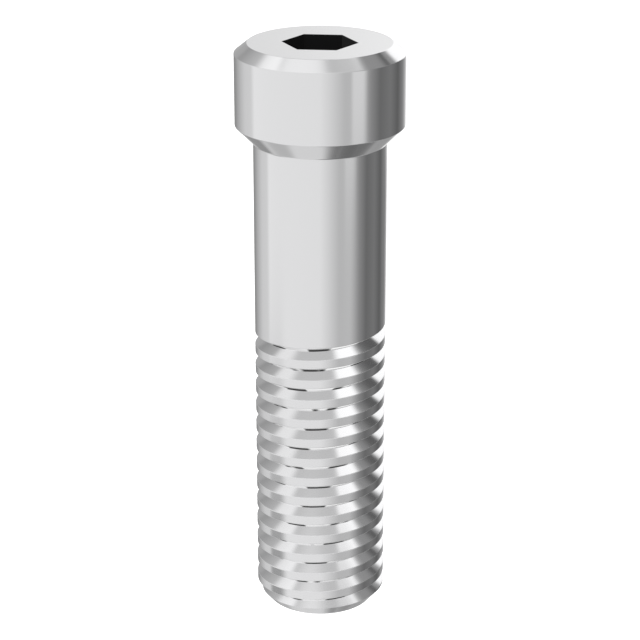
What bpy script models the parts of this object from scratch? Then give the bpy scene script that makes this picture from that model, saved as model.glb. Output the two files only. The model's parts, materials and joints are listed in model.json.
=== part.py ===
"""Dental prosthetic screw, turned and thread-cut from one piece of titanium bar.

A cylindrical head with a hex socket, a 45 degree seat under it, a plain shank and a fine
right-hand thread as wide as the shank. The screw lies on its side on the plane z = 0, as it
comes to rest on a bench: on the lower edge of its head and the last crest of its thread.
"""

import math

import bmesh
import bpy
import numpy as np
from mathutils import Matrix, Vector

MM = 0.001
TURN = 2 * math.pi

# Driving dimensions. Heights are measured down the axis from the head's top face.
LENGTH = 8.14 * MM
HEAD_DIAMETER = 2.30 * MM
HEAD_HEIGHT = 1.11 * MM
HEAD_TOP_DIAMETER = 1.95 * MM
HEAD_CHAMFER_HEIGHT = 0.14 * MM
SHANK_DIAMETER = 1.81 * MM
SEAT_ANGLE = math.radians(45)

SOCKET_ACROSS_FLATS = 0.889 * MM
SOCKET_DEPTH = 1.00 * MM
SOCKET_TURN = math.radians(-5.3)
PILOT_DRILL_DIAMETER = 0.86 * MM
PILOT_DRILL_DEPTH = 1.05 * MM
DRILL_POINT_ANGLE = math.radians(118)

PITCH = 0.292 * MM
FLANK_ANGLE = math.radians(30)
GROOVE_WIDTH = 0.60 * PITCH
THREAD_FRONT_HEIGHT = 4.097 * MM
RUN_OUT_START = math.radians(225)
RUN_OUT_LENGTH = math.radians(120)

TIP_DIAMETER = 1.46 * MM
TIP_CHAMFER_ANGLE = math.radians(40)

# Facets round every turned surface. Two of them meet at angle 0, so the same two meet on the bench.
FACETS = 48
FACET = TURN / FACETS

# The cutters reach this far past the surface they cut, and the bar is left this much too long at the tip.
OVERCUT = 0.25 * MM
SPARE_BAR = 0.60 * MM

TITANIUM_COLOUR = (0.72, 0.72, 0.73, 1.0)
TITANIUM_ROUGHNESS = 0.22
SHARP_EDGE = math.radians(20)


def clear_scene():
    for obj in list(bpy.data.objects):
        bpy.data.objects.remove(obj, do_unlink=True)


def titanium():
    """Bright turned titanium."""
    material = bpy.data.materials.new("turned_titanium")
    material.use_nodes = True
    shader = material.node_tree.nodes["Principled BSDF"]
    shader.inputs["Base Color"].default_value = TITANIUM_COLOUR
    shader.inputs["Metallic"].default_value = 1.0
    shader.inputs["Roughness"].default_value = TITANIUM_ROUGHNESS
    return material


def new_object(name, bm):
    """Puts a bmesh with its faces turned outwards into a new object of the scene."""
    bmesh.ops.recalc_face_normals(bm, faces=bm.faces)
    mesh = bpy.data.meshes.new(name)
    bm.to_mesh(mesh)
    bm.free()
    obj = bpy.data.objects.new(name, mesh)
    bpy.context.collection.objects.link(obj)
    return obj


def point(radius, angle, height):
    """A point at a radius and an angle round the axis. Angle 0 is -Y, and it grows towards +X."""
    return Vector((radius * math.sin(angle), -radius * math.cos(angle), -height))


def ring(bm, radius, height, first_angle=0.0):
    """A circle of points that runs against the thread's hand, as the thread's own stations do."""
    return [bm.verts.new(point(radius, first_angle - i * FACET, height)) for i in range(FACETS)]


def band(bm, upper, lower):
    """The wall between two rings."""
    for i in range(FACETS):
        j = (i + 1) % FACETS
        bm.faces.new((upper[i], lower[i], lower[j], upper[j]))


def cut_share(turned, total):
    """How deep the thread tool is, from 0 to 1: it is fed in and drawn out over the run-out."""
    share = min(turned, total - turned) / RUN_OUT_LENGTH
    share = min(max(share, 0.0), 1.0)
    return share * share * (3 - 2 * share)


def thread_stations(bm, count):
    """The groove's upper edge, root and lower edge at each station along the helix.

    The centre of the groove goes down by one pitch a turn. Both edges are half the groove's width
    from it, and the root is as deep as the flank angle makes a sharp V of that width.
    """
    first_height = THREAD_FRONT_HEIGHT - PITCH * RUN_OUT_START / TURN
    radius = SHANK_DIAMETER / 2
    stations = []
    for i in range(count + 1):
        turned = i * FACET
        angle = RUN_OUT_START - turned
        centre = first_height + PITCH * turned / TURN
        share = cut_share(turned, count * FACET)
        half = share * GROOVE_WIDTH / 2
        if half == 0.0:
            stations.append((bm.verts.new(point(radius, angle, centre)),) * 3)
            continue
        stations.append(
            (
                bm.verts.new(point(radius, angle, centre - half)),
                bm.verts.new(point(radius - half / math.tan(FLANK_ANGLE), angle, centre)),
                bm.verts.new(point(radius, angle, centre + half)),
            )
        )
    return stations


def thread_surface(bm, shank_ring, end_ring, stations):
    """Joins the helical groove to itself, to the shank above and to the bar's end below."""
    count = len(stations) - 1
    for i in range(count):
        upper, root, lower = stations[i]
        next_upper, next_root, next_lower = stations[i + 1]
        for corners in ((upper, root, next_root, next_upper), (root, lower, next_lower, next_root)):
            bm.faces.new(tuple(dict.fromkeys(corners)))
        crest = [lower, next_lower]
        if i < count - FACETS:
            crest += [stations[i + 1 + FACETS][0], stations[i + FACETS][0]]
        else:
            j = i - (count - FACETS)
            crest += [end_ring[(j + 1) % FACETS], end_ring[j]]
            if j == 0:
                crest.append(stations[count][0])
        bm.faces.new(crest)
    for i in range(FACETS):
        wall = [shank_ring[i], stations[i][0], stations[i + 1][0], shank_ring[(i + 1) % FACETS]]
        if i == FACETS - 1:
            wall.insert(3, stations[0][0])
        bm.faces.new(wall)


def threaded_blank():
    """Head, seat, shank and thread as one surface, on a bar that is still too long at the tip."""
    radius = SHANK_DIAMETER / 2
    seat_height = (HEAD_DIAMETER - SHANK_DIAMETER) / 2 / math.tan(SEAT_ANGLE)
    end_height = LENGTH + SPARE_BAR
    thread_height = end_height - THREAD_FRONT_HEIGHT - PITCH
    count = round(thread_height / PITCH) * FACETS

    bm = bmesh.new()
    profile = (
        (HEAD_TOP_DIAMETER / 2, 0.0),
        (HEAD_DIAMETER / 2, HEAD_CHAMFER_HEIGHT),
        (HEAD_DIAMETER / 2, HEAD_HEIGHT),
        (radius, HEAD_HEIGHT + seat_height),
    )
    rings = [ring(bm, r, height, RUN_OUT_START) for r, height in profile]
    for upper, lower in zip(rings, rings[1:]):
        band(bm, upper, lower)
    bm.faces.new(rings[0])

    end_ring = ring(bm, radius, end_height, RUN_OUT_START)
    bm.faces.new(end_ring)
    thread_surface(bm, rings[-1], end_ring, thread_stations(bm, count))
    return new_object("prosthetic_screw", bm)


def tip_cutter():
    """Turns the tip to length and chamfers it: all that is below the tip face or outside its cone."""
    spread = OVERCUT * math.tan(TIP_CHAMFER_ANGLE)
    outside = HEAD_DIAMETER / 2
    bm = bmesh.new()
    face = ring(bm, TIP_DIAMETER / 2, LENGTH)
    cone = ring(bm, TIP_DIAMETER / 2 + spread, LENGTH - OVERCUT)
    rim = ring(bm, outside, LENGTH - OVERCUT)
    base = ring(bm, outside, LENGTH + SPARE_BAR + OVERCUT)
    bm.faces.new(face)
    band(bm, face, cone)
    band(bm, cone, rim)
    band(bm, rim, base)
    bm.faces.new(base)
    return new_object("tip_cutter", bm)


def socket_cutter():
    """The hex broach."""
    corner_radius = SOCKET_ACROSS_FLATS / math.sqrt(3)
    bm = bmesh.new()
    corners = [TURN / 4 + SOCKET_TURN + i * TURN / 6 for i in range(6)]
    mouth = [bm.verts.new(point(corner_radius, angle, -OVERCUT)) for angle in corners]
    floor = [bm.verts.new(point(corner_radius, angle, SOCKET_DEPTH)) for angle in corners]
    for i in range(6):
        j = (i + 1) % 6
        bm.faces.new((mouth[i], floor[i], floor[j], mouth[j]))
    bm.faces.new(mouth)
    bm.faces.new(floor)
    return new_object("socket_cutter", bm)


def pilot_drill():
    """The drill that went before the broach. Its cone is left at the socket's bottom."""
    radius = PILOT_DRILL_DIAMETER / 2
    bm = bmesh.new()
    top = ring(bm, radius, SOCKET_DEPTH - OVERCUT)
    shoulder = ring(bm, radius, PILOT_DRILL_DEPTH)
    tip = bm.verts.new(point(0.0, 0.0, PILOT_DRILL_DEPTH + radius / math.tan(DRILL_POINT_ANGLE / 2)))
    band(bm, top, shoulder)
    bm.faces.new(top)
    for i in range(FACETS):
        bm.faces.new((shoulder[i], tip, shoulder[(i + 1) % FACETS]))
    return new_object("pilot_drill", bm)


def cut(obj, cutter):
    """Takes one closed cutter away from the object."""
    cutter.hide_render = True
    cutter.display_type = "WIRE"
    modifier = obj.modifiers.new(cutter.name, "BOOLEAN")
    modifier.operation = "DIFFERENCE"
    modifier.solver = "EXACT"
    modifier.object = cutter


def finished_points(obj):
    """The object's points after its cuts, in its own frame."""
    graph = bpy.context.evaluated_depsgraph_get()
    evaluated = obj.evaluated_get(graph)
    mesh = evaluated.to_mesh()
    points = np.empty(len(mesh.vertices) * 3)
    mesh.vertices.foreach_get("co", points)
    evaluated.to_mesh_clear()
    return points.reshape(-1, 3)


def lay_down(obj, cutters):
    """Turns the upright screw onto its back, so that what faced -Y looks up and the head is at +Y.

    It rests on the head's lower edge. From there the smallest angle down to any point of the
    thread is the one at which the thread touches the bench too.
    """
    points = finished_points(obj)
    back, height = points[:, 1], -points[:, 2]
    head_back = back[height <= HEAD_HEIGHT + OVERCUT].max()
    behind = height > HEAD_HEIGHT + OVERCUT
    dip = np.arctan2(head_back - back[behind], height[behind] - HEAD_HEIGHT).min()

    turn = Matrix.Rotation(-(TURN / 4 - dip), 4, "X")
    laid = points @ np.array(turn.to_3x3()).T
    low, high = laid.min(axis=0), laid.max(axis=0)
    shift = Matrix.Translation((0.0, -(low[1] + high[1]) / 2, -low[2]))
    for piece in [obj] + cutters:
        piece.matrix_world = shift @ turn


def prosthetic_screw():
    screw = threaded_blank()
    cutters = [tip_cutter(), socket_cutter(), pilot_drill()]
    for cutter in cutters:
        cut(screw, cutter)
    screw.data.materials.append(titanium())
    screw.data.shade_smooth()
    screw.data.set_sharp_from_angle(angle=SHARP_EDGE)
    lay_down(screw, cutters)
    return screw


clear_scene()
prosthetic_screw()
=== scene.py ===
# %% [markdown]
# # A dental prosthetic screw
# The real thing is about 8 mm long. It is turned from one titanium bar, its thread is cut with a single
# pointed tool, and a hex broach opens the socket for the driver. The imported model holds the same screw
# with 48 flats round it. Here it gets a surface that is truly round, a mirror-bright turned finish,
# and a small white studio round it, because bright metal shows little but what stands round it.

import json
import math

import bmesh
import bpy
import numpy as np
from mathutils import Matrix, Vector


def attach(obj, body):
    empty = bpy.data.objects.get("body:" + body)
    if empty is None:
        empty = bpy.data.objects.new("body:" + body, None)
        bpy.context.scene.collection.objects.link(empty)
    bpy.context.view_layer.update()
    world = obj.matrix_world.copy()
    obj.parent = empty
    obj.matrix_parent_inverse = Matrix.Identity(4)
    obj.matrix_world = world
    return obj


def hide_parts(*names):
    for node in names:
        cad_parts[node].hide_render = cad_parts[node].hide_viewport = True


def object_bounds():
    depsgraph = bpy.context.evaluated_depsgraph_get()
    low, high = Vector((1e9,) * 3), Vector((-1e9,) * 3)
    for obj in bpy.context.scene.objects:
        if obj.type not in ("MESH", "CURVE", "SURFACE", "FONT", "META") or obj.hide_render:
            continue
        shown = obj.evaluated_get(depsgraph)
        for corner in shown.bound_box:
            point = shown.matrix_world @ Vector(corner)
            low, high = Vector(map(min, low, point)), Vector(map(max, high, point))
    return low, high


MM = 0.001

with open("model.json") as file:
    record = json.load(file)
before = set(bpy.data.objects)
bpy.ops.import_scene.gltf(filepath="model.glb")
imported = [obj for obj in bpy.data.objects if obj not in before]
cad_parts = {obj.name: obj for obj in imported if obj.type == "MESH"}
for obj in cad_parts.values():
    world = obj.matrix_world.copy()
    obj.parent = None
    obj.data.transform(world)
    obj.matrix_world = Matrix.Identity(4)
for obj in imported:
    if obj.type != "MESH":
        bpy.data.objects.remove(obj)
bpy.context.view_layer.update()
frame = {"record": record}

# %% [markdown]
# ## Where the screw lies
# The screw lies on its side, so its own axis isn't an axis of the scene: it dips a little to the thinner
# end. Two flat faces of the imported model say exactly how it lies, the ring on top of the head and the
# face of the tip. From them come the axis, the side that looks up, and the middle of the head's top face.

# %% The screw's own axes
mounts = {mount["name"]: mount for mount in frame["record"]["mounts"]}
AXIS = np.array(mounts["head_top_face"]["axis"], float)
AXIS /= np.linalg.norm(AXIS)
SIDE = np.array([1.0, 0.0, 0.0])
FRONT = np.cross(SIDE, AXIS)
TIP_CENTRE = np.array(mounts["tip_face"]["pos_m"], float)
LENGTH = float((np.array(mounts["head_top_face"]["pos_m"]) - TIP_CENTRE) @ AXIS)
TOP_CENTRE = TIP_CENTRE + AXIS * LENGTH
dip = math.degrees(math.asin(AXIS[2]))
print("length", round(LENGTH / MM, 3), "mm, dips", round(dip, 2), "degrees")

# %% [markdown]
# ## Points round the axis
# On a lathe a point has three numbers: how far it is from the axis, its angle round it, and its height,
# which is measured down from the middle of the head's top face. One function turns them to the scene.

# %% From radius, angle and height to the scene
TURN = 2 * math.pi


def place(radius, angle, height):
    """A point in the scene: radius times (sine of the angle sideways plus its cosine to the front),
    less the height along the axis, from the middle of the head's top face. Whole arrays at once."""
    radius, angle, height = np.broadcast_arrays(radius, angle, height)
    sideways = (radius * np.sin(angle))[..., None] * SIDE
    forwards = (radius * np.cos(angle))[..., None] * FRONT
    return TOP_CENTRE + sideways + forwards - height[..., None] * AXIS


print("the top's middle lies", np.round(place(0.0, 0.0, 0.0) / MM, 3).tolist(), "mm from the origin")

# %% [markdown]
# ## Corners with a small radius
# A path of straight lines turns into the real outline when each corner becomes a short arc. The arc
# starts and ends a tangent length from the corner, which is the radius times the tangent of half the
# turn. A guard point just outside each arc keeps the flat surfaces flat when the shading is smoothed.

# %% Round the corners of a path
ARC_STEPS = 4
GUARD = 0.5


def rounded_path(points, radii):
    """Replaces each inner corner by a quadratic arc between its two tangent points, with a guard
    point half a tangent length outside each. Returns the points as one array."""
    points = np.array(points, float)
    out = [points[:1]]
    t = np.linspace(0.0, 1.0, ARC_STEPS + 1)[:, None]
    for before, corner, after, radius in zip(points, points[1:], points[2:], radii):
        if radius == 0.0:
            out.append(corner[None])
            continue
        back, ahead = before - corner, after - corner
        back, ahead = back / np.linalg.norm(back), ahead / np.linalg.norm(ahead)
        turn = math.pi - math.acos(float(np.clip(back @ ahead, -1, 1)))
        reach = radius * math.tan(turn / 2)
        start, end = corner + back * reach, corner + ahead * reach
        arc = (1 - t) ** 2 * start + 2 * t * (1 - t) * corner + t**2 * end
        out += [(start + back * reach * GUARD)[None], arc, (end + ahead * reach * GUARD)[None]]
    out.append(points[-1:])
    return np.concatenate(out)


print("a corner becomes", len(rounded_path([(0, 0), (1, 0), (1, 1)], [0.1])) - 2, "points")

# %% [markdown]
# ## Socket
# The socket is drilled first and then broached to a hexagon, and the drill's cone is left at its bottom.
# All above the thread is a stack of rings, and these are the first: up the cone, up the hexagon's wall
# and round the lip to the top face. A ring's radius may change round the axis, which gives the hexagon.
# A Boolean could cut it too, but its points wouldn't meet those of the top face, whose smooth shading
# would suffer. Two rings lie close to an edge, so that the shading bends there and nowhere else.

# %% Rings of the socket
SOCKET_APOTHEM = 0.889 * MM / 2
SOCKET_DEPTH = 1.00 * MM
SOCKET_TURN = math.radians(-5.3)
DRILL_RADIUS = 0.43 * MM
DRILL_DEPTH = 1.05 * MM
DRILL_POINT = math.radians(118)
CONE_HEIGHT = DRILL_RADIUS / math.tan(DRILL_POINT / 2)

# Radii of the cone's rings and heights of the hexagon's, as shares of the whole.
CONE_SHARES = (0.25, 0.6, 0.97, 1.0)
SOCKET_SHARES = (1.0, 0.98, 0.5)

EDGE_RADIUS = 0.012 * MM
LIP_REACH = EDGE_RADIUS * 2
LIP_RADIUS = EDGE_RADIUS / 2

COLUMNS = 192
STEP = TURN / COLUMNS
COLUMN_ANGLES = TURN / 4 + SOCKET_TURN - np.arange(COLUMNS) * STEP


def hexagon(angles):
    """The distance from the axis to the socket's wall: the apothem over the cosine of the angle from
    the middle of the nearest flat."""
    from_flat = np.mod(angles - TURN / 4 - SOCKET_TURN, TURN / 6) - TURN / 12
    return SOCKET_APOTHEM / np.cos(from_flat)


def socket_rings():
    """Drill cone, drilled wall, hex floor, hex wall and lip, as (radius for each column, height)."""
    rings = [(np.full(COLUMNS, DRILL_RADIUS * s), DRILL_DEPTH + CONE_HEIGHT * (1 - s)) for s in CONE_SHARES]
    rings.append((np.full(COLUMNS, DRILL_RADIUS), SOCKET_DEPTH))
    wall = hexagon(COLUMN_ANGLES)
    rings += [(wall, SOCKET_DEPTH * s) for s in SOCKET_SHARES]
    rings.append((wall, LIP_REACH))
    lip = rounded_path([(0, LIP_REACH), (0, 0), (LIP_REACH, 0)], [LIP_RADIUS])[1:-1]
    rings += [(wall + out, height) for out, height in lip]
    return rings


rings = socket_rings()
print("socket", len(rings), "rings of", COLUMNS, "points")

# %% [markdown]
# ## Head, seat and shank
# The stack goes on over the top face, down the chamfer, the head's wall and the seat, and along the
# shank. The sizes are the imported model's, in millimetres. The small radii are what a sharp carbide tool
# and a light polish leave on a corner.

# %% Rings from the top face to the shank
HEAD_RADIUS = 1.15 * MM
HEAD_HEIGHT = 1.11 * MM
TOP_RADIUS = 0.975 * MM
CHAMFER_HEIGHT = 0.14 * MM
SHANK_RADIUS = 0.905 * MM
SEAT_ANGLE = math.radians(45)
SEAT_END = HEAD_HEIGHT + (HEAD_RADIUS - SHANK_RADIUS) / math.tan(SEAT_ANGLE)
SEAT_FILLET = 0.02 * MM

# The shank's last ring is this far below the seat. From there the faces reach to the thread.
SHANK_PART = 1.8 * MM

# The top face has this many rings from the socket out to an inner circle.
TOP_RINGS = 5
INNER_TOP_RADIUS = TOP_RADIUS * 0.9


def head_rings():
    """Top face, chamfer, wall, seat and shank, as (radius for each column, height). On the top face
    the hexagon turns to a circle in equal steps."""
    mouth = hexagon(COLUMN_ANGLES) + LIP_REACH
    shares = np.linspace(0.0, 1.0, TOP_RINGS + 1)[:-1]
    rings = [(mouth + (INNER_TOP_RADIUS - mouth) * s, 0.0) for s in shares]
    corners = [
        (INNER_TOP_RADIUS, 0.0),
        (TOP_RADIUS, 0.0),
        (HEAD_RADIUS, CHAMFER_HEIGHT),
        (HEAD_RADIUS, HEAD_HEIGHT),
        (SHANK_RADIUS, SEAT_END),
        (SHANK_RADIUS, SEAT_END + SHANK_PART),
    ]
    outline = rounded_path(corners, [EDGE_RADIUS, EDGE_RADIUS, EDGE_RADIUS, SEAT_FILLET])
    return rings + [(np.full(COLUMNS, radius), height) for radius, height in outline]


rings += head_rings()
ring_points = np.stack([place(radius, COLUMN_ANGLES, height) for radius, height in rings])
print("with the head and the shank", len(rings), "rings")

# %% [markdown]
# ## Cross section of the thread
# The thread is one groove, a sharp 60 degree V, as a single pointed tool cuts it. Between two turns the
# bar's own surface is left, which is the crest. The section holds the V and a quarter of the crest on
# each side. It has one point more on the upper flank, where the painted shade streaks of a later step thin
# out.

# %% Cross section of the groove
PITCH = 0.292 * MM
FLANK_ANGLE = math.radians(30)
GROOVE_WIDTH = 0.60 * PITCH
CREST_RADIUS = 0.01 * MM
ROOT_RADIUS = 0.006 * MM

# The painted shade streaks are full from this share of the groove's depth down to its root.
STREAK_DEPTH = 0.45

groove_half = GROOVE_WIDTH / 2
groove_depth = groove_half / math.tan(FLANK_ANGLE)
section_half = groove_half + (PITCH - GROOVE_WIDTH) / 4
section = rounded_path(
    [
        (-section_half, 0.0),
        (-groove_half, 0.0),
        (-groove_half * (1 - STREAK_DEPTH), groove_depth * STREAK_DEPTH),
        (0.0, groove_depth),
        (groove_half, 0.0),
        (section_half, 0.0),
    ],
    [CREST_RADIUS, 0.0, ROOT_RADIUS, CREST_RADIUS],
)[1:-1]
print("groove", round(groove_depth / MM, 4), "mm deep, section of", len(section), "points")

# %% [markdown]
# ## Thread
# The section is carried down a helix, and each turn lies one pitch below the last. A real tool is fed in
# and drawn out over part of a turn, so there the V is scaled from nothing to full. A Screw modifier could
# carry the section too, but it can't feed the tool in, so the helix is worked out here as one array.
# The groove starts on the screw's back. The bar is left too long, and the tip is turned off afterwards.

# %% Stations along the helix
# The height of the groove's centre where it first passes angle 0, the angle at which the tool starts
# to be fed in, the angle over which it is, and how much too long the bar is.
THREAD_FRONT = 4.097 * MM
RUN_OUT_START = math.radians(225)
RUN_OUT_LENGTH = math.radians(120)
SPARE = 0.60 * MM

thread_turns = round((LENGTH + SPARE - THREAD_FRONT - PITCH) / PITCH)
stations = thread_turns * COLUMNS + 1
first_column = round((COLUMN_ANGLES[0] + TURN - RUN_OUT_START) / STEP) % COLUMNS
first_angle = float(COLUMN_ANGLES[first_column]) % TURN
turned = np.arange(stations) * STEP
fed_in = np.clip(np.minimum(turned, turned[-1] - turned) / RUN_OUT_LENGTH, 0.0, 1.0)
fed_in = fed_in**2 * (3 - 2 * fed_in)
groove_centre = THREAD_FRONT - PITCH * first_angle / TURN + PITCH * turned / TURN


def groove_points():
    """Station by station along the helix: the centre's height plus the section's height, and the
    shank's radius less the section's depth, both scaled by how far the tool is fed in."""
    heights = groove_centre[:, None] + fed_in[:, None] * section[None, :, 0]
    radii = SHANK_RADIUS - fed_in[:, None] * section[None, :, 1]
    angles = (first_angle - turned)[:, None]
    return place(radii, angles, heights)


thread_points = groove_points()
print(thread_turns, "turns of", COLUMNS, "stations")

# %% [markdown]
# ## One skin
# The rings and the groove become one mesh, so every point gets a number: first the rings, then the
# groove, then a last ring at the bar's end. Two poles close the bar, one in the socket and one at its end.

# %% All points of the bar, and their numbers
bar_length = LENGTH + SPARE
end_ring_points = place(SHANK_RADIUS, COLUMN_ANGLES, bar_length)
poles = place(0.0, 0.0, np.array([DRILL_DEPTH + CONE_HEIGHT, bar_length]))
bar_points = np.concatenate(
    [ring_points.reshape(-1, 3), thread_points.reshape(-1, 3), end_ring_points, poles]
)

ring_numbers = np.arange(len(rings) * COLUMNS).reshape(len(rings), COLUMNS)
thread_numbers = ring_numbers.size + np.arange(stations * len(section)).reshape(stations, len(section))
end_numbers = ring_numbers.size + thread_numbers.size + np.arange(COLUMNS)
socket_pole, end_pole = len(bar_points) - 2, len(bar_points) - 1
print("bar", len(bar_points), "points before its doubles are merged")

# %% [markdown]
# Quads join each ring to the next and each station to the next. The crest joins the lower edge of one
# turn to the upper edge of the next, which is one turn of stations further on. At the shank the first
# turn starts from a single point, so one face there has five corners, and one at the bar's end has too.

# %% All faces of the bar


def ring_quads(upper, lower):
    """Quads between two rings of point numbers."""
    return np.stack([upper, lower, np.roll(lower, -1), np.roll(upper, -1)], axis=1).tolist()


def strip_quads(numbers):
    """Quads between neighbouring rows and neighbouring columns of a grid of point numbers."""
    a, b = numbers[:-1, :-1], numbers[:-1, 1:]
    c, d = numbers[1:, 1:], numbers[1:, :-1]
    return np.stack([a, b, c, d], axis=-1).reshape(-1, 4).tolist()


def side_by_side(left, right):
    """Quads between two rows of point numbers that run the same way."""
    return strip_quads(np.stack([left, right], axis=1))


upper_edge, lower_edge = thread_numbers[:, 0], thread_numbers[:, -1]
shank = np.roll(ring_numbers[-1], -first_column)
bar_end = np.roll(end_numbers, -first_column)
top = side_by_side(np.append(shank, shank[0]), upper_edge[: COLUMNS + 1])
top[-1].insert(3, int(upper_edge[0]))
bottom = side_by_side(lower_edge[-COLUMNS - 1 :], np.append(bar_end, bar_end[0]))
bottom[0].insert(1, int(upper_edge[-1]))
drill_end = ring_numbers[0]
socket_fan = np.stack([np.full(COLUMNS, socket_pole), drill_end, np.roll(drill_end, -1)], axis=1).tolist()
end_fan = np.stack([bar_end, np.full(COLUMNS, end_pole), np.roll(bar_end, -1)], axis=1).tolist()

bar_faces = []
for upper, lower in zip(ring_numbers, ring_numbers[1:]):
    bar_faces += ring_quads(upper, lower)
bar_faces += strip_quads(thread_numbers)
bar_faces += side_by_side(lower_edge[:-COLUMNS], upper_edge[COLUMNS:])
bar_faces += top + bottom + socket_fan + end_fan
print("bar", len(bar_faces), "faces")

# %% [markdown]
# A closed mesh is safe to cut. So points that lie together are merged, all faces are turned outwards, and
# the edges that don't have two faces are counted: there should be none.

# %% Make the bar
# Points nearer than a hundredth of a micrometre lie together.
TOGETHER = 1e-8


def closed_object(name, points, faces):
    """Puts points and faces into a new object of the scene, merged and turned outwards."""
    mesh = bpy.data.meshes.new(name)
    mesh.from_pydata(points, [], faces)
    bm = bmesh.new()
    bm.from_mesh(mesh)
    bmesh.ops.remove_doubles(bm, verts=bm.verts, dist=TOGETHER)
    bmesh.ops.recalc_face_normals(bm, faces=bm.faces)
    bm.to_mesh(mesh)
    open_edges = sum(1 for edge in bm.edges if len(edge.link_faces) != 2)
    bm.free()
    obj = bpy.data.objects.new(name, mesh)
    bpy.context.scene.collection.objects.link(obj)
    print(name, len(mesh.vertices), "points,", len(mesh.polygons), "faces,", open_edges, "open edges")
    return obj


screw = closed_object("turned_screw", bar_points, bar_faces)

# %% [markdown]
# ## Turn the tip to length
# The last cut on the lathe faces the bar at its length and chamfers its end, straight through the
# groove. A Boolean does the same here: it is the only tool that cuts the V and the cone cleanly. The edge
# between the face and the chamfer is rounded far more than the others, as the picture shows.

# %% Tip
TIP_RADIUS = 0.73 * MM
TIP_ANGLE = math.radians(40)
TIP_EDGE_RADIUS = 0.10 * MM
CHAMFER_REACH = 0.25 * MM
TOOL_RADIUS = HEAD_RADIUS * 1.2

# An edge that bends more than this stays sharp when the shading is smoothed.
SHARP_EDGE = math.radians(25)


def tip_tool():
    """A turned block that holds all of space below the tip face and outside its cone."""
    cone_end = (TIP_RADIUS + CHAMFER_REACH * math.tan(TIP_ANGLE), LENGTH - CHAMFER_REACH)
    edge = rounded_path([(0.0, LENGTH), (TIP_RADIUS, LENGTH), cone_end], [TIP_EDGE_RADIUS])[1:]
    profile = [*edge.tolist(), (TOOL_RADIUS, LENGTH - CHAMFER_REACH), (TOOL_RADIUS, LENGTH + SPARE * 2)]
    points = np.concatenate([place(radius, COLUMN_ANGLES, height) for radius, height in profile])
    numbers = np.arange(len(points)).reshape(len(profile), COLUMNS)
    faces = [numbers[0].tolist(), numbers[-1].tolist()]
    for upper, lower in zip(numbers, numbers[1:]):
        faces += ring_quads(upper, lower)
    return closed_object("tip_tool", points, faces)


def cut_tip(obj):
    """Takes the tool away from the object, keeps the result as its mesh, and removes the tool."""
    tool = tip_tool()
    modifier = obj.modifiers.new("tip", "BOOLEAN")
    modifier.operation = "DIFFERENCE"
    modifier.solver = "EXACT"
    modifier.object = tool
    graph = bpy.context.evaluated_depsgraph_get()
    finished = bpy.data.meshes.new_from_object(obj.evaluated_get(graph))
    obj.modifiers.clear()
    obj.data = finished
    bpy.data.objects.remove(tool, do_unlink=True)


cut_tip(screw)
screw.data.shade_smooth()
screw.data.set_sharp_from_angle(angle=SHARP_EDGE)
screw.data.calc_loop_triangles()
print("finished screw", len(screw.data.loop_triangles), "triangles")

# %% [markdown]
# ## Painted shade
# Two kinds of place on the screw are painted dark, as painted shade. The socket is a deep blind hole,
# painted black inside where shade would fall. And broken streaks of painted shade lie on the flank under
# each crest, which faces the tip, and thin out towards the crest. A texture could paint them, but it knows
# nothing of flanks and crests. So both go on the points, whose places say it, as one number from 0, plain
# metal, to 1, painted shade. Where the streaks break is the sum of four waves along the helix, each with a
# length, a size and a shift. The lengths don't divide a turn, so no two turns look alike.

# %% Painted shade, as a number for each point
# Each wave's length in degrees along the helix, its size, and its shift in degrees.
STREAK_WAVES = ((53.6, 0.35, 16.0), (38.8, 0.165, 2.4), (71.8, 0.15, 3.9), (16.6, 0.137, -2.3))

# A streak starts where the sum passes STREAK_START, and it is full a seventh further on.
STREAK_START = 0.06
STREAK_EDGE = 7.0
STREAK_DARKEST = 0.96

# How far past the socket's wall, below a surface, above the tip's face and past the root (as a share of
# the pitch) the limits between plain metal and painted shade lie.
SOCKET_MARGIN = EDGE_RADIUS * 0.1
SURFACE_MARGIN = CREST_RADIUS * 0.1
TIP_MARGIN = TIP_EDGE_RADIUS * 0.4
ROOT_MARGIN = 0.02


def round_the_axis(points):
    """Radius, angle and height of each point: its distance from the axis, the arctangent of its part
    sideways over its part to the front, and how far it lies below the head's top face."""
    offset = points - TOP_CENTRE
    sideways, forwards = offset @ SIDE, offset @ FRONT
    return np.hypot(sideways, forwards), np.arctan2(sideways, forwards), -(offset @ AXIS)


def painted_shade(points):
    """Painted shade from 0 to 1 at each point. A point is in the socket when it is nearer to the axis than
    the hexagon and not far below the head. It is on the flank under a crest when it lies less than half a
    pitch above the groove's centre and inside both the shank's surface and the tip's cone."""
    radius, angle, height = round_the_axis(points)
    # The socket is painted fully dark: painted shade in the recess.
    in_socket = (radius < hexagon(angle) + SOCKET_MARGIN) & (height < HEAD_HEIGHT * 2)

    # Broken streaks of painted shade on the flank under each crest.
    turns_down = (height - THREAD_FRONT) / PITCH + angle / TURN
    from_centre = turns_down - np.round(turns_down)
    surface = np.minimum(SHANK_RADIUS, TIP_RADIUS + (LENGTH - height) * math.tan(TIP_ANGLE))
    in_groove = (radius < surface - SURFACE_MARGIN) & (height < LENGTH - TIP_MARGIN)
    on_flank = in_groove & (from_centre < ROOT_MARGIN) & (height > THREAD_FRONT - PITCH)
    along = np.degrees(TURN * np.round(turns_down) - angle)
    wave = sum(size * np.sin(TURN * (along + shift) / length) for length, size, shift in STREAK_WAVES)
    thinning = np.clip((SHANK_RADIUS - radius) / groove_depth / STREAK_DEPTH, 0.0, 1.0)
    shade_streak = np.clip((wave - STREAK_START) * STREAK_EDGE, 0.0, 1.0) * thinning * STREAK_DARKEST
    return np.where(in_socket, 1.0, np.where(on_flank, shade_streak, 0.0))


positions = np.empty(len(screw.data.vertices) * 3)
screw.data.vertices.foreach_get("co", positions)
positions = positions.reshape(-1, 3)
shares = painted_shade(positions)
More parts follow.
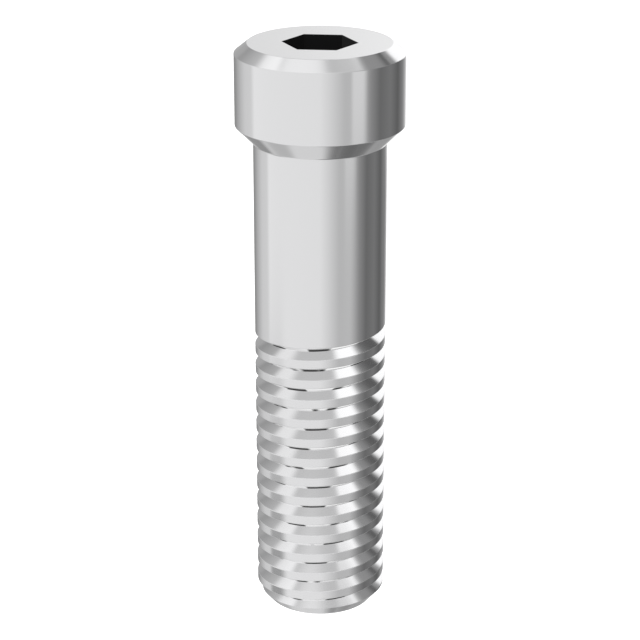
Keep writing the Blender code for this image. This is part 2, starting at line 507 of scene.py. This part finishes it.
# The painted shade goes on the points as an attribute, which the material reads.
screw.data.attributes.new("painted_shade", "FLOAT", "POINT").data.foreach_set("value", shares)
print("dark", int((shares > 0.5).sum()), "of", len(shares), "points")

# %% [markdown]
# ## Rubbed edges
# Handling and the first fitting rub the corners that stand out: the thread's crests and the head's two
# rims. A second number from 0 to 1 marks them. A crest's arc goes half a corner radius below the bar's
# surface, and its guard point lies deeper. A rim's arc goes less than half a corner radius up and down,
# and its guard points lie further off. So the limits below catch the arcs and leave the flat surfaces.

# %% Wear, as a number for each point
CREST_ARC = CREST_RADIUS * 0.6
RIM_ARC = EDGE_RADIUS * 0.4
RIM_WEAR = 0.7


def wear(points):
    """Rubbed from 0 to 1 at each point: fully on the arcs of the crests, and less on those of the
    head's rims."""
    radius, _, height = round_the_axis(points)
    below = SHANK_RADIUS - radius
    threaded = (height > THREAD_FRONT - PITCH) & (height < LENGTH - PITCH)
    crest = threaded & (below > TOGETHER) & (below < CREST_ARC)
    from_rim = np.minimum(np.abs(height - CHAMFER_HEIGHT), np.abs(height - HEAD_HEIGHT))
    rim = (from_rim < RIM_ARC) & (radius > HEAD_RADIUS - EDGE_RADIUS)
    return np.where(crest, 1.0, np.where(rim, RIM_WEAR, 0.0))


shares = wear(positions)
screw.data.attributes.new("wear", "FLOAT", "POINT").data.foreach_set("value", shares)
print("rubbed", int((shares > 0.5).sum()), "of", len(shares), "points")

# %% [markdown]
# ## Nodes and colours
# Every material below is a small tree of nodes. One helper adds a node with its settings and links, and
# another turns a colour as it is written on a screen, a hex value, to the linear light that shaders use.

# %% Helpers for materials


def linear(code):
    """An sRGB hex colour as linear red, green and blue, with alpha 1."""
    channels = [int(code[i : i + 2], 16) / 255 for i in (1, 3, 5)]
    return tuple(c / 12.92 if c <= 0.04045 else ((c + 0.055) / 1.055) ** 2.4 for c in channels) + (1.0,)


def add(tree, kind, inputs=None, **settings):
    """Adds a node, sets its properties, and sets or links its inputs by name or number."""
    node = tree.nodes.new(kind)
    for key, value in settings.items():
        setattr(node, key, value)
    for key, value in (inputs or {}).items():
        if isinstance(value, bpy.types.NodeSocket):
            tree.links.new(value, node.inputs[key])
        else:
            node.inputs[key].default_value = value
    return node


print("middle grey is", round(linear("#808080")[0], 3), "in linear light")

# %% [markdown]
# ## Turned titanium
# Bright turned titanium is a slightly grey mirror. The tool leaves rings about a hundredth of a millimetre
# apart, which spread a reflection along the axis and hardly at all round it. So the rings are a noise that
# changes with the height and the radius alone, and the spread is turned to lie across them. Rubbed edges
# are duller. Where the painted shade is 1, a matt black shader is painted on as shade.

# %% Material
METAL_COLOUR = linear("#e6e6e7")
# Near black: the colour of the painted shade in the socket and under the crests.
SHADE_COLOUR = linear("#0b0b0c")
MARK_SPACING = 0.012 * MM
MARK_DEPTH = 0.00003 * MM
ROUGHNESS = 0.12
ROUGHNESS_RUBBED = 0.30
ROUGHNESS_SHADE = 0.7


def turned_titanium():
    material = bpy.data.materials.new("turned_titanium")
    material.use_nodes = True
    tree = material.node_tree
    tree.nodes.clear()

    on_screw = add(tree, "ShaderNodeTexCoord").outputs["Object"]
    from_top = {0: on_screw, 1: tuple(TOP_CENTRE)}
    offset = add(tree, "ShaderNodeVectorMath", from_top, operation="SUBTRACT").outputs[0]
    on_axis = {0: offset, 1: tuple(AXIS)}
    height = add(tree, "ShaderNodeVectorMath", on_axis, operation="DOT_PRODUCT").outputs["Value"]
    around = {0: tuple(AXIS), 1: offset}
    tangent = add(tree, "ShaderNodeVectorMath", around, operation="CROSS_PRODUCT").outputs[0]
    radius = add(tree, "ShaderNodeVectorMath", {0: tangent}, operation="LENGTH").outputs["Value"]
    ring_place = add(tree, "ShaderNodeCombineXYZ", {"X": height, "Y": radius}).outputs[0]
    mark_size = {"Vector": ring_place, "Scale": 1 / MARK_SPACING, "Detail": 2.0}
    marks = add(tree, "ShaderNodeTexNoise", mark_size, noise_dimensions="2D").outputs[0]
    bump = add(tree, "ShaderNodeBump", {"Height": marks, "Distance": MARK_DEPTH, "Strength": 1.0}).outputs[0]

    rubbed = add(tree, "ShaderNodeAttribute", attribute_name="wear").outputs["Fac"]
    span = {"Value": rubbed, "To Min": ROUGHNESS, "To Max": ROUGHNESS_RUBBED}
    roughness = add(tree, "ShaderNodeMapRange", span).outputs[0]
    metal = add(
        tree,
        "ShaderNodeBsdfPrincipled",
        {
            "Base Color": METAL_COLOUR,
            "Metallic": 1.0,
            "Roughness": roughness,
            "Anisotropic": 0.5,
            "Anisotropic Rotation": 0.25,
            "Tangent": tangent,
            "Normal": bump,
        },
    )
    shade_look = {"Base Color": SHADE_COLOUR, "Roughness": ROUGHNESS_SHADE, "Specular IOR Level": 0.1}
    shade_bsdf = add(tree, "ShaderNodeBsdfPrincipled", shade_look)
    # Where the painted shade is 1, the matt black shader stands in for shade.
    shade_share = add(tree, "ShaderNodeAttribute", attribute_name="painted_shade").outputs["Fac"]
    both = add(tree, "ShaderNodeMixShader", {0: shade_share, 1: metal.outputs["BSDF"], 2: shade_bsdf.outputs["BSDF"]})
    add(tree, "ShaderNodeOutputMaterial", {"Surface": both.outputs[0]})
    return material


screw.data.materials.clear()
screw.data.materials.append(turned_titanium())
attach(screw, "root")
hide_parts("prosthetic_screw")
screw.visible_glossy = False
print("screw finished in", screw.data.materials[0].name)

# %% [markdown]
# ## Floor
# The floor is plain and white. The camera sees most of it as its own even glow, and the rest of its
# brightness is real light on it, so the screw still leaves a soft shadow. The floor is kept out of the
# metal's mirror, where the studio's cards belong.

# %% Floor
FLOOR_SIZE = 400 * MM
FLOOR_COLOUR = linear("#f4f4f4")
FLOOR_GLOW = 0.62
WHITE = (1, 1, 1, 1)


def white_floor():
    material = bpy.data.materials.new("matt_white_card")
    material.use_nodes = True
    tree = material.node_tree
    tree.nodes.clear()
    path = add(tree, "ShaderNodeLightPath")
    card = add(tree, "ShaderNodeBsdfDiffuse", {"Color": FLOOR_COLOUR}).outputs[0]
    glow = add(tree, "ShaderNodeEmission", {"Color": WHITE, "Strength": FLOOR_GLOW}).outputs[0]
    both = add(tree, "ShaderNodeAddShader", {0: card, 1: glow}).outputs[0]
    mix = add(tree, "ShaderNodeMixShader", {0: path.outputs["Is Camera Ray"], 1: card, 2: both})
    add(tree, "ShaderNodeOutputMaterial", {"Surface": mix.outputs[0]})
    return material


floor_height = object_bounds()[0][2]
half = FLOOR_SIZE / 2
floor_corners = [(x * half, y * half, floor_height) for x, y in ((-1, -1), (1, -1), (1, 1), (-1, 1))]
floor_mesh = bpy.data.meshes.new("floor")
floor_mesh.from_pydata(floor_corners, [], [(0, 1, 2, 3)])
floor = bpy.data.objects.new("floor", floor_mesh)
floor.data.materials.append(white_floor())
floor.visible_glossy = False
bpy.context.scene.collection.objects.link(floor)
print("floor at", round(floor_height / MM, 5), "mm")

# %% [markdown]
# ## Studio
# Bright metal shows what stands round it, so a photographer works in a white tent with grey and black
# cards. Here the tent is painted on the sky by direction, in degrees round the screw's axis (0 in front,
# 90 on the right, 180 behind) and in degrees up towards the head. Real planes and lamps could stand
# there instead, but a painted sky has no size, so every part of the screw sees the same studio. A wall
# runs all the way round, and cards and windows cover parts of it. The tent starts and ends on the left,
# where its wall has a seam.

# %% Walls, cards and windows of the tent
SEAM = -104.0
FULL_SCALE = 1.5

# Degrees round the axis, and how bright the wall is there. 1 is white paper in full light.
WALL = [
    (-104, 0.78), (-98, 0.95), (-60, 0.92), (0, 0.90), (14, 0.77), (33, 0.57), (54, 0.58), (72, 0.29),
    (87, 0.165), (108, 0.21), (127, 0.13), (143, 0.25), (152, 0.40), (168, 0.88), (175, 1.05),
    (181, 0.95), (186, 0.62), (190, 0.48), (199, 0.28), (208, 0.34), (240, 0.72), (256, 0.76),
]

# Name, round the axis: start of the soft edge, full, full, end; the same upwards; brightness.
CARDS = [
    ("dim card behind on the right", (136, 142, 150, 158), (-22, -20, -17, -15.5), 0.23),
    ("grey card behind on the right", (150, 157, 164, 170), (-22, -20, -17, -15.5), 0.40),
    ("black card low on the left", (-110, -96, -80, -60), (-60, -50, -27, -20), 0.36),
    ("pale card on the right", (40, 46, 58, 68), (-17.5, -15.5, 30, 40), 0.80),
    ("grey paper behind", (173, 184, 192, 200), (-2, 8, 40, 45), 0.82),
    ("grey card behind on the left", (188, 197, 212, 220), (-4, 6, 14, 24), 0.45),
    ("grey roof behind", (80, 96, 245, 251), (40, 47, 91, 92), 0.62),
    ("white roof in front", (-112, -104, 55, 100), (56, 64, 91, 92), 1.05),
    ("white roof in front, far end", (245, 251, 258, 260), (56, 64, 91, 92), 1.08),
    ("window on the left", (216, 224, 252, 256), (40, 49, 56, 66), 0.97),
    ("window on the left, bright end", (232, 241, 258, 260), (42, 48, 58, 64), 1.12),
    ("window on the left, near part", (-110, -104, -60, -50), (40, 49, 91, 92), 1.05),
    ("grey card on the right", (85, 95, 150, 152), (30, 34, 55, 63), 0.33),
    ("window on the right", (111, 116, 150, 160), (59, 65, 76, 81), 1.30),
    ("black card on the right", (128, 134, 146, 150), (34, 39, 54, 61), 0.12),
    ("window behind on the right", (139, 145, 160, 184), (-12, 0, 33, 38), 1.24),
    ("white floor of the tent", (-110, -108, 256, 258), (-92, -91, -48, -40), 0.77),
    ("black cloth on the floor", (-20, 0, 151, 180), (-92, -91, -60, -50), 0.15),
    ("pale paper on the cloth", (153, 157, 164, 170), (-69, -66, -56, -50), 0.50),
    ("grey paper on the floor", (204, 210, 222, 230), (-66, -60, -50, -44), 0.52),
    ("grey paper next to it", (190, 196, 202, 207), (-57, -52, -47, -42), 0.50),
    ("dark card low on the right", (130, 140, 151, 158), (-62, -56, -48, -38), 0.17),
    ("grey card low on the right", (138, 146, 166, 175), (-48, -42, -27, -24), 0.36),
    ("grey card beside it", (152, 158, 166, 172), (-56, -51, -44, -40), 0.40),
    ("grey card low behind", (187, 193, 206, 210), (-43, -37, -28, -25), 0.33),
]
print("tent with", len(WALL), "wall stops and", len(CARDS), "cards")

# %% [markdown]
# The cards overlap, and each lies over those before it in the list. So one card is a group of nodes that
# takes the brightness behind it and gives the brightness in front of it, and the cards are a chain of
# such groups. All of them share the one group.

# %% One card over what is behind it
WAYS = ("Round", "Up")
EDGES = (1, 2, 3, 4)


def card_group():
    """A group that lays one card over what is behind it. Its cover is the product of four smooth
    steps, one for each edge, and the brightness is mixed by that cover."""
    group = bpy.data.node_groups.new("card", "ShaderNodeTree")
    for name in [*WAYS, "Behind", *(f"{way} {n}" for way in WAYS for n in EDGES), "Level"]:
        group.interface.new_socket(name, in_out="INPUT", socket_type="NodeSocketFloat")
    group.interface.new_socket("Level", in_out="OUTPUT", socket_type="NodeSocketFloat")
    ends = add(group, "NodeGroupInput").outputs
    cover = None
    for way in WAYS:
        for first, last, start, stop in ((1, 2, 0.0, 1.0), (3, 4, 1.0, 0.0)):
            span = {
                "Value": ends[way],
                "From Min": ends[f"{way} {first}"],
                "From Max": ends[f"{way} {last}"],
                "To Min": start,
                "To Max": stop,
            }
            edge = add(group, "ShaderNodeMapRange", span, interpolation_type="SMOOTHSTEP").outputs[0]
            if cover is None:
                cover = edge
            else:
                cover = add(group, "ShaderNodeMath", {0: cover, 1: edge}, operation="MULTIPLY").outputs[0]
    pair = {0: ends["Level"], 1: ends["Behind"]}
    difference = add(group, "ShaderNodeMath", pair, operation="SUBTRACT").outputs[0]
    mixed = {0: difference, 1: cover, 2: ends["Behind"]}
    level = add(group, "ShaderNodeMath", mixed, operation="MULTIPLY_ADD").outputs[0]
    add(group, "NodeGroupOutput", {0: level})
    return group


one_card = card_group()
print("a card takes", len(one_card.interface.items_tree) - 1, "numbers")

# %% [markdown]
# The wall's brightness is a colour ramp over the whole turn. A ramp's colours usually stay between 0 and
# 1, so the stops are divided by a value above all of them, and the ramp's result is multiplied by it.

# %% Brightness of the wall


def wall_level(tree, around):
    """A colour ramp over the whole turn, whose stops are the wall's."""
    share_of_turn = {0: around, 1: 1 / 360, 2: -SEAM / 360}
    share = add(tree, "ShaderNodeMath", share_of_turn, operation="MULTIPLY_ADD").outputs[0]
    ramp = add(tree, "ShaderNodeValToRGB", {"Fac": share})
    elements = ramp.color_ramp.elements
    elements.remove(elements[-1])
    for i, (degrees, level) in enumerate(WALL):
        position = (degrees - SEAM) / 360
        element = elements[0] if i == 0 else elements.new(position)
        element.position = position
        element.color = (level / FULL_SCALE,) * 3 + (1,)
    scaled = {0: ramp.outputs["Color"], 1: FULL_SCALE}
    return add(tree, "ShaderNodeMath", scaled, operation="MULTIPLY").outputs[0]


print("wall from", min(level for _, level in WALL), "to", max(level for _, level in WALL))

# %% [markdown]
# The sky needs each direction's two angles. The angle round the axis is an arctangent of the direction's
# part sideways over its part to the front. It is measured from the side opposite the seam, so that it
# jumps at the seam alone. The angle upwards is the arcsine of its part along the axis. The camera itself
# sees plain white instead of the tent.

# %% The tent
MIDDLE = SEAM + 180


def two_angles(tree):
    """Degrees round the screw's axis and degrees up towards its head, for each direction."""
    direction = add(tree, "ShaderNodeTexCoord").outputs["Generated"]

    def along(axis):
        parts = {0: direction, 1: tuple(axis)}
        return add(tree, "ShaderNodeVectorMath", parts, operation="DOT_PRODUCT").outputs["Value"]

    cos_m, sin_m = math.cos(math.radians(MIDDLE)), math.sin(math.radians(MIDDLE))
    parts = {0: along(SIDE * cos_m - FRONT * sin_m), 1: along(FRONT * cos_m + SIDE * sin_m)}
    angle = add(tree, "ShaderNodeMath", parts, operation="ARCTAN2").outputs[0]
    in_degrees = {0: angle, 1: math.degrees(1), 2: MIDDLE}
    around = add(tree, "ShaderNodeMath", in_degrees, operation="MULTIPLY_ADD").outputs[0]
    slope = add(tree, "ShaderNodeMath", {0: along(AXIS)}, operation="ARCSINE").outputs[0]
    upward = add(tree, "ShaderNodeMath", {0: slope, 1: math.degrees(1)}, operation="MULTIPLY").outputs[0]
    return around, upward


def white_tent():
    """The wall, the chain of cards over it, and plain white for the camera."""
    world = bpy.data.worlds.new("white_tent")
    world.use_nodes = True
    tree = world.node_tree
    tree.nodes.clear()
    around, upward = two_angles(tree)
    level = wall_level(tree, around)
    for name, round_edges, up_edges, brightness in CARDS:
        inputs = {"Round": around, "Up": upward, "Behind": level, "Level": brightness}
        for way, edges in zip(WAYS, (round_edges, up_edges)):
            inputs |= {f"{way} {n}": edge for n, edge in zip(EDGES, edges)}
        level = add(tree, "ShaderNodeGroup", inputs, node_tree=one_card, label=name).outputs[0]

    tent = add(tree, "ShaderNodeBackground", {"Color": WHITE, "Strength": level}).outputs[0]
    white = add(tree, "ShaderNodeBackground", {"Color": WHITE, "Strength": 1.0}).outputs[0]
    path = add(tree, "ShaderNodeLightPath")
    mix = add(tree, "ShaderNodeMixShader", {0: path.outputs["Is Camera Ray"], 1: tent, 2: white})
    add(tree, "ShaderNodeOutputWorld", {"Surface": mix.outputs[0]})
    return world


bpy.context.scene.world = white_tent()
print("sky of", len(bpy.context.scene.world.node_tree.nodes), "nodes")

# %% [markdown]
# ## Lamp
# One large soft lamp hangs over the floor for the shadow. It is kept out of the mirror too.

# %% Lamp
LAMP_SIZE = 60 * MM
LAMP_WATTS = 0.02
LAMP_PLACE = (-15 * MM, 10 * MM, 60 * MM)
LAMP_TILT = math.radians(-14)

lamp_data = bpy.data.lights.new("overhead", "AREA")
lamp_data.shape = "DISK"
lamp_data.size = LAMP_SIZE
lamp_data.energy = LAMP_WATTS
lamp = bpy.data.objects.new("overhead", lamp_data)
lamp.location = LAMP_PLACE
lamp.rotation_euler = (0, LAMP_TILT, 0)
lamp.visible_glossy = False
bpy.context.scene.collection.objects.link(lamp)
print("lamp", round(LAMP_SIZE / MM), "mm across,", round(LAMP_PLACE[2] / MM), "mm up")

# %% [markdown]
# ## Camera
# The picture shows the screw upright, seen from above its head. The screw lies, so the camera looks down
# on it and its top points along the screw. The distances were fitted to the outline in the picture.

# %% Camera
# The lens is given in pixels of the picture. The middle of the head's top face is seen at TOP_PIXEL,
# TOP_DEPTH in front of the camera.
FOCAL_PIXELS = 2185.0
FRAME_PIXELS = 640
SENSOR_WIDTH = 36.0
PITCH_DOWN = math.radians(20.54)
TOP_DEPTH = 25.167 * HEAD_RADIUS
TOP_PIXEL = (319.95, 41.98)
ROLL = math.radians(0.05)
NEAREST = 1 * MM
FURTHEST = 1000 * MM

level_up = math.cos(PITCH_DOWN) * AXIS - math.sin(PITCH_DOWN) * FRONT
forward = -math.sin(PITCH_DOWN) * AXIS - math.cos(PITCH_DOWN) * FRONT
up = math.cos(ROLL) * level_up + math.sin(ROLL) * np.cross(forward, level_up)
right = np.cross(forward, up)
offset_x = (TOP_PIXEL[0] - FRAME_PIXELS / 2) / FOCAL_PIXELS * TOP_DEPTH
offset_y = (FRAME_PIXELS / 2 - TOP_PIXEL[1]) / FOCAL_PIXELS * TOP_DEPTH
eye = TOP_CENTRE - forward * TOP_DEPTH - right * offset_x - up * offset_y

camera_data = bpy.data.cameras.new("camera")
camera_data.sensor_width = SENSOR_WIDTH
camera_data.lens = FOCAL_PIXELS / FRAME_PIXELS * SENSOR_WIDTH
camera_data.clip_start = NEAREST
camera_data.clip_end = FURTHEST
camera = bpy.data.objects.new("camera", camera_data)
camera.matrix_world = Matrix([[right[i], up[i], -forward[i], eye[i]] for i in range(3)] + [[0, 0, 0, 1]])
bpy.context.scene.collection.objects.link(camera)
bpy.context.scene.camera = camera
print("camera", np.round(eye / MM, 2).tolist(), "mm, lens", round(camera_data.lens, 1))

# %% [markdown]
# ## Picture settings
# The plain Standard view shows colours as they are written.

# %% Finish
bpy.context.scene.view_settings.view_transform = "Standard"
